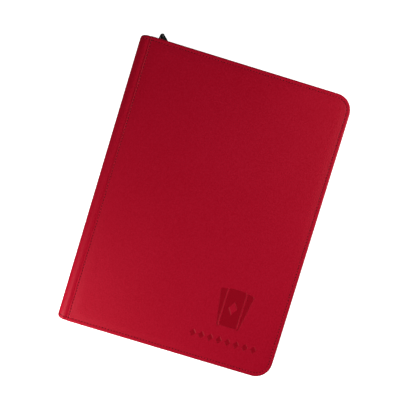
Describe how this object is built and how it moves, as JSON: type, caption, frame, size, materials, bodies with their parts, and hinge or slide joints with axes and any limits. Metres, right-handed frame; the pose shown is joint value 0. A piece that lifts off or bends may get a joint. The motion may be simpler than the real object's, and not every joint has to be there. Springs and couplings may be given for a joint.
{
  "type": "trading card binder",
  "caption": "Padded zip-around binder for trading cards: two hinged covers on a rounded spine, leaves of card pockets and a zipper slider with a link and pull tab.",
  "frame": {"origin": "centre of the closed binder's back cover on its outer face, width measured over the spine", "axes": "+X from the spine to the fore edge, +Y from the foot to the head, +Z from the back cover to the front cover"},
  "size_m": [0.27, 0.3712, 0.038],
  "materials": {
    "cover_leatherette": "fine-grained padded synthetic leather, satin",
    "foam": "soft foam sheet",
    "board": "grey board",
    "lining": "woven lining cloth, matte",
    "zip_tape": "woven zipper tape, matte",
    "zip_coil": "nylon coil, satin",
    "zip_metal": "black lacquered metal, satin",
    "page_plastic": "black pocket sheet under clear film"
  },
  "bodies": {
    "back_cover": {"back_skin": "cover_leatherette", "back_foam": "foam", "back_board": "board", "back_lining": "lining", "back_fold": "cover_leatherette", "zipper_tape_back": "zip_tape", "zipper_coil_back": "zip_coil", "zipper_stops_back": "zip_metal"},
    "spine": {"spine_skin": "cover_leatherette", "spine_board": "board", "spine_lining": "lining", "page_binding": "lining"},
    "front_cover": {"front_skin": "cover_leatherette", "front_foam": "foam", "front_board": "board", "front_lining": "lining", "front_fold": "cover_leatherette", "zipper_tape_front": "zip_tape", "zipper_coil_front": "zip_coil", "zipper_stops_front": "zip_metal"},
    "slider": {"slider_body": "zip_metal"},
    "link": {"pull_link": "zip_metal"},
    "tab": {"pull_tab": "zip_metal"},
    "page_01": {"page_01": "page_plastic"},
    "page_02": {"page_02": "page_plastic"},
    "page_03": {"page_03": "page_plastic"},
    "page_04": {"page_04": "page_plastic"},
    "page_05": {"page_05": "page_plastic"},
    "page_06": {"page_06": "page_plastic"},
    "page_07": {"page_07": "page_plastic"},
    "page_08": {"page_08": "page_plastic"},
    "page_09": {"page_09": "page_plastic"},
    "page_10": {"page_10": "page_plastic"},
    "page_11": {"page_11": "page_plastic"},
    "page_12": {"page_12": "page_plastic"},
    "page_13": {"page_13": "page_plastic"},
    "page_14": {"page_14": "page_plastic"},
    "page_15": {"page_15": "page_plastic"},
    "page_16": {"page_16": "page_plastic"},
    "page_17": {"page_17": "page_plastic"},
    "page_18": {"page_18": "page_plastic"},
    "page_19": {"page_19": "page_plastic"},
    "page_20": {"page_20": "page_plastic"}
  },
  "joints": [
    {"name": "spine_hinge", "type": "hinge", "parent": "back_cover", "child": "spine", "pos_m": [-0.1319, 0, 0.0031], "axis": [0, -1, 0], "range_deg": [0, 90]},
    {"name": "cover_hinge", "type": "hinge", "parent": "spine", "child": "front_cover", "pos_m": [-0.1319, 0, 0.0349], "axis": [0, -1, 0], "range_deg": [0, 90]},
    {"name": "zip_slide", "type": "slide", "parent": "back_cover", "child": "slider", "axis": [1, 0, 0], "range_m": [0, 0.21]},
    {"name": "link_swing", "type": "hinge", "parent": "slider", "child": "link", "pos_m": [-0.1112, 0.1875, 0.019], "axis": [1, 0, 0], "range_deg": [-10, 120]},
    {"name": "tab_swing", "type": "hinge", "parent": "link", "child": "tab", "pos_m": [-0.1112, 0.1875, 0.0124], "axis": [0, 1, 0], "range_deg": [-60, 60]},
    {"name": "page_01_turn", "type": "hinge", "parent": "spine", "child": "page_01", "pos_m": [-0.1272, 0, 0.03135], "axis": [0, -1, 0], "range_deg": [0, 78]},
    {"name": "page_02_turn", "type": "hinge", "parent": "spine", "child": "page_02", "pos_m": [-0.1272, 0, 0.03005], "axis": [0, -1, 0], "range_deg": [0, 75.5]},
    {"name": "page_03_turn", "type": "hinge", "parent": "spine", "child": "page_03", "pos_m": [-0.1272, 0, 0.02875], "axis": [0, -1, 0], "range_deg": [0, 73]},
    {"name": "page_04_turn", "type": "hinge", "parent": "spine", "child": "page_04", "pos_m": [-0.1272, 0, 0.02745], "axis": [0, -1, 0], "range_deg": [0, 70.5]},
    {"name": "page_05_turn", "type": "hinge", "parent": "spine", "child": "page_05", "pos_m": [-0.1272, 0, 0.02615], "axis": [0, -1, 0], "range_deg": [0, 68]},
    {"name": "page_06_turn", "type": "hinge", "parent": "spine", "child": "page_06", "pos_m": [-0.1272, 0, 0.02485], "axis": [0, -1, 0], "range_deg": [0, 65.5]},
    {"name": "page_07_turn", "type": "hinge", "parent": "spine", "child": "page_07", "pos_m": [-0.1272, 0, 0.02355], "axis": [0, -1, 0], "range_deg": [0, 63]},
    {"name": "page_08_turn", "type": "hinge", "parent": "spine", "child": "page_08", "pos_m": [-0.1272, 0, 0.02225], "axis": [0, -1, 0], "range_deg": [0, 60.5]},
    {"name": "page_09_turn", "type": "hinge", "parent": "spine", "child": "page_09", "pos_m": [-0.1272, 0, 0.02095], "axis": [0, -1, 0], "range_deg": [0, 58]},
    {"name": "page_10_turn", "type": "hinge", "parent": "spine", "child": "page_10", "pos_m": [-0.1272, 0, 0.01965], "axis": [0, -1, 0], "range_deg": [0, 55.5]},
    {"name": "page_11_turn", "type": "hinge", "parent": "spine", "child": "page_11", "pos_m": [-0.1272, 0, 0.01835], "axis": [0, -1, 0], "range_deg": [-55.5, 0]},
    {"name": "page_12_turn", "type": "hinge", "parent": "spine", "child": "page_12", "pos_m": [-0.1272, 0, 0.01705], "axis": [0, -1, 0], "range_deg": [-58, 0]},
    {"name": "page_13_turn", "type": "hinge", "parent": "spine", "child": "page_13", "pos_m": [-0.1272, 0, 0.01575], "axis": [0, -1, 0], "range_deg": [-60.5, 0]},
    {"name": "page_14_turn", "type": "hinge", "parent": "spine", "child": "page_14", "pos_m": [-0.1272, 0, 0.01445], "axis": [0, -1, 0], "range_deg": [-63, 0]},
    {"name": "page_15_turn", "type": "hinge", "parent": "spine", "child": "page_15", "pos_m": [-0.1272, 0, 0.01315], "axis": [0, -1, 0], "range_deg": [-65.5, 0]},
    {"name": "page_16_turn", "type": "hinge", "parent": "spine", "child": "page_16", "pos_m": [-0.1272, 0, 0.01185], "axis": [0, -1, 0], "range_deg": [-68, 0]},
    {"name": "page_17_turn", "type": "hinge", "parent": "spine", "child": "page_17", "pos_m": [-0.1272, 0, 0.01055], "axis": [0, -1, 0], "range_deg": [-70.5, 0]},
    {"name": "page_18_turn", "type": "hinge", "parent": "spine", "child": "page_18", "pos_m": [-0.1272, 0, 0.00925], "axis": [0, -1, 0], "range_deg": [-73, 0]},
    {"name": "page_19_turn", "type": "hinge", "parent": "spine", "child": "page_19", "pos_m": [-0.1272, 0, 0.00795], "axis": [0, -1, 0], "range_deg": [-75.5, 0]},
    {"name": "page_20_turn", "type": "hinge", "parent": "spine", "child": "page_20", "pos_m": [-0.1272, 0, 0.00665], "axis": [0, -1, 0], "range_deg": [-78, 0]}
  ],
  "couplings": [
    {"joint": "page_01_turn", "follows": "cover_hinge", "ratio": 0.86666},
    {"joint": "page_02_turn", "follows": "cover_hinge", "ratio": 0.83888},
    {"joint": "page_03_turn", "follows": "cover_hinge", "ratio": 0.81111},
    {"joint": "page_04_turn", "follows": "cover_hinge", "ratio": 0.78333},
    {"joint": "page_05_turn", "follows": "cover_hinge", "ratio": 0.75555},
    {"joint": "page_06_turn", "follows": "cover_hinge", "ratio": 0.72777},
    {"joint": "page_07_turn", "follows": "cover_hinge", "ratio": 0.7},
    {"joint": "page_08_turn", "follows": "cover_hinge", "ratio": 0.67222},
    {"joint": "page_09_turn", "follows": "cover_hinge", "ratio": 0.64444},
    {"joint": "page_10_turn", "follows": "cover_hinge", "ratio": 0.61666},
    {"joint": "page_11_turn", "follows": "spine_hinge", "ratio": -0.61666},
    {"joint": "page_12_turn", "follows": "spine_hinge", "ratio": -0.64444},
    {"joint": "page_13_turn", "follows": "spine_hinge", "ratio": -0.67222},
    {"joint": "page_14_turn", "follows": "spine_hinge", "ratio": -0.7},
    {"joint": "page_15_turn", "follows": "spine_hinge", "ratio": -0.72777},
    {"joint": "page_16_turn", "follows": "spine_hinge", "ratio": -0.75555},
    {"joint": "page_17_turn", "follows": "spine_hinge", "ratio": -0.78333},
    {"joint": "page_18_turn", "follows": "spine_hinge", "ratio": -0.81111},
    {"joint": "page_19_turn", "follows": "spine_hinge", "ratio": -0.83888},
    {"joint": "page_20_turn", "follows": "spine_hinge", "ratio": -0.86666}
  ]
}
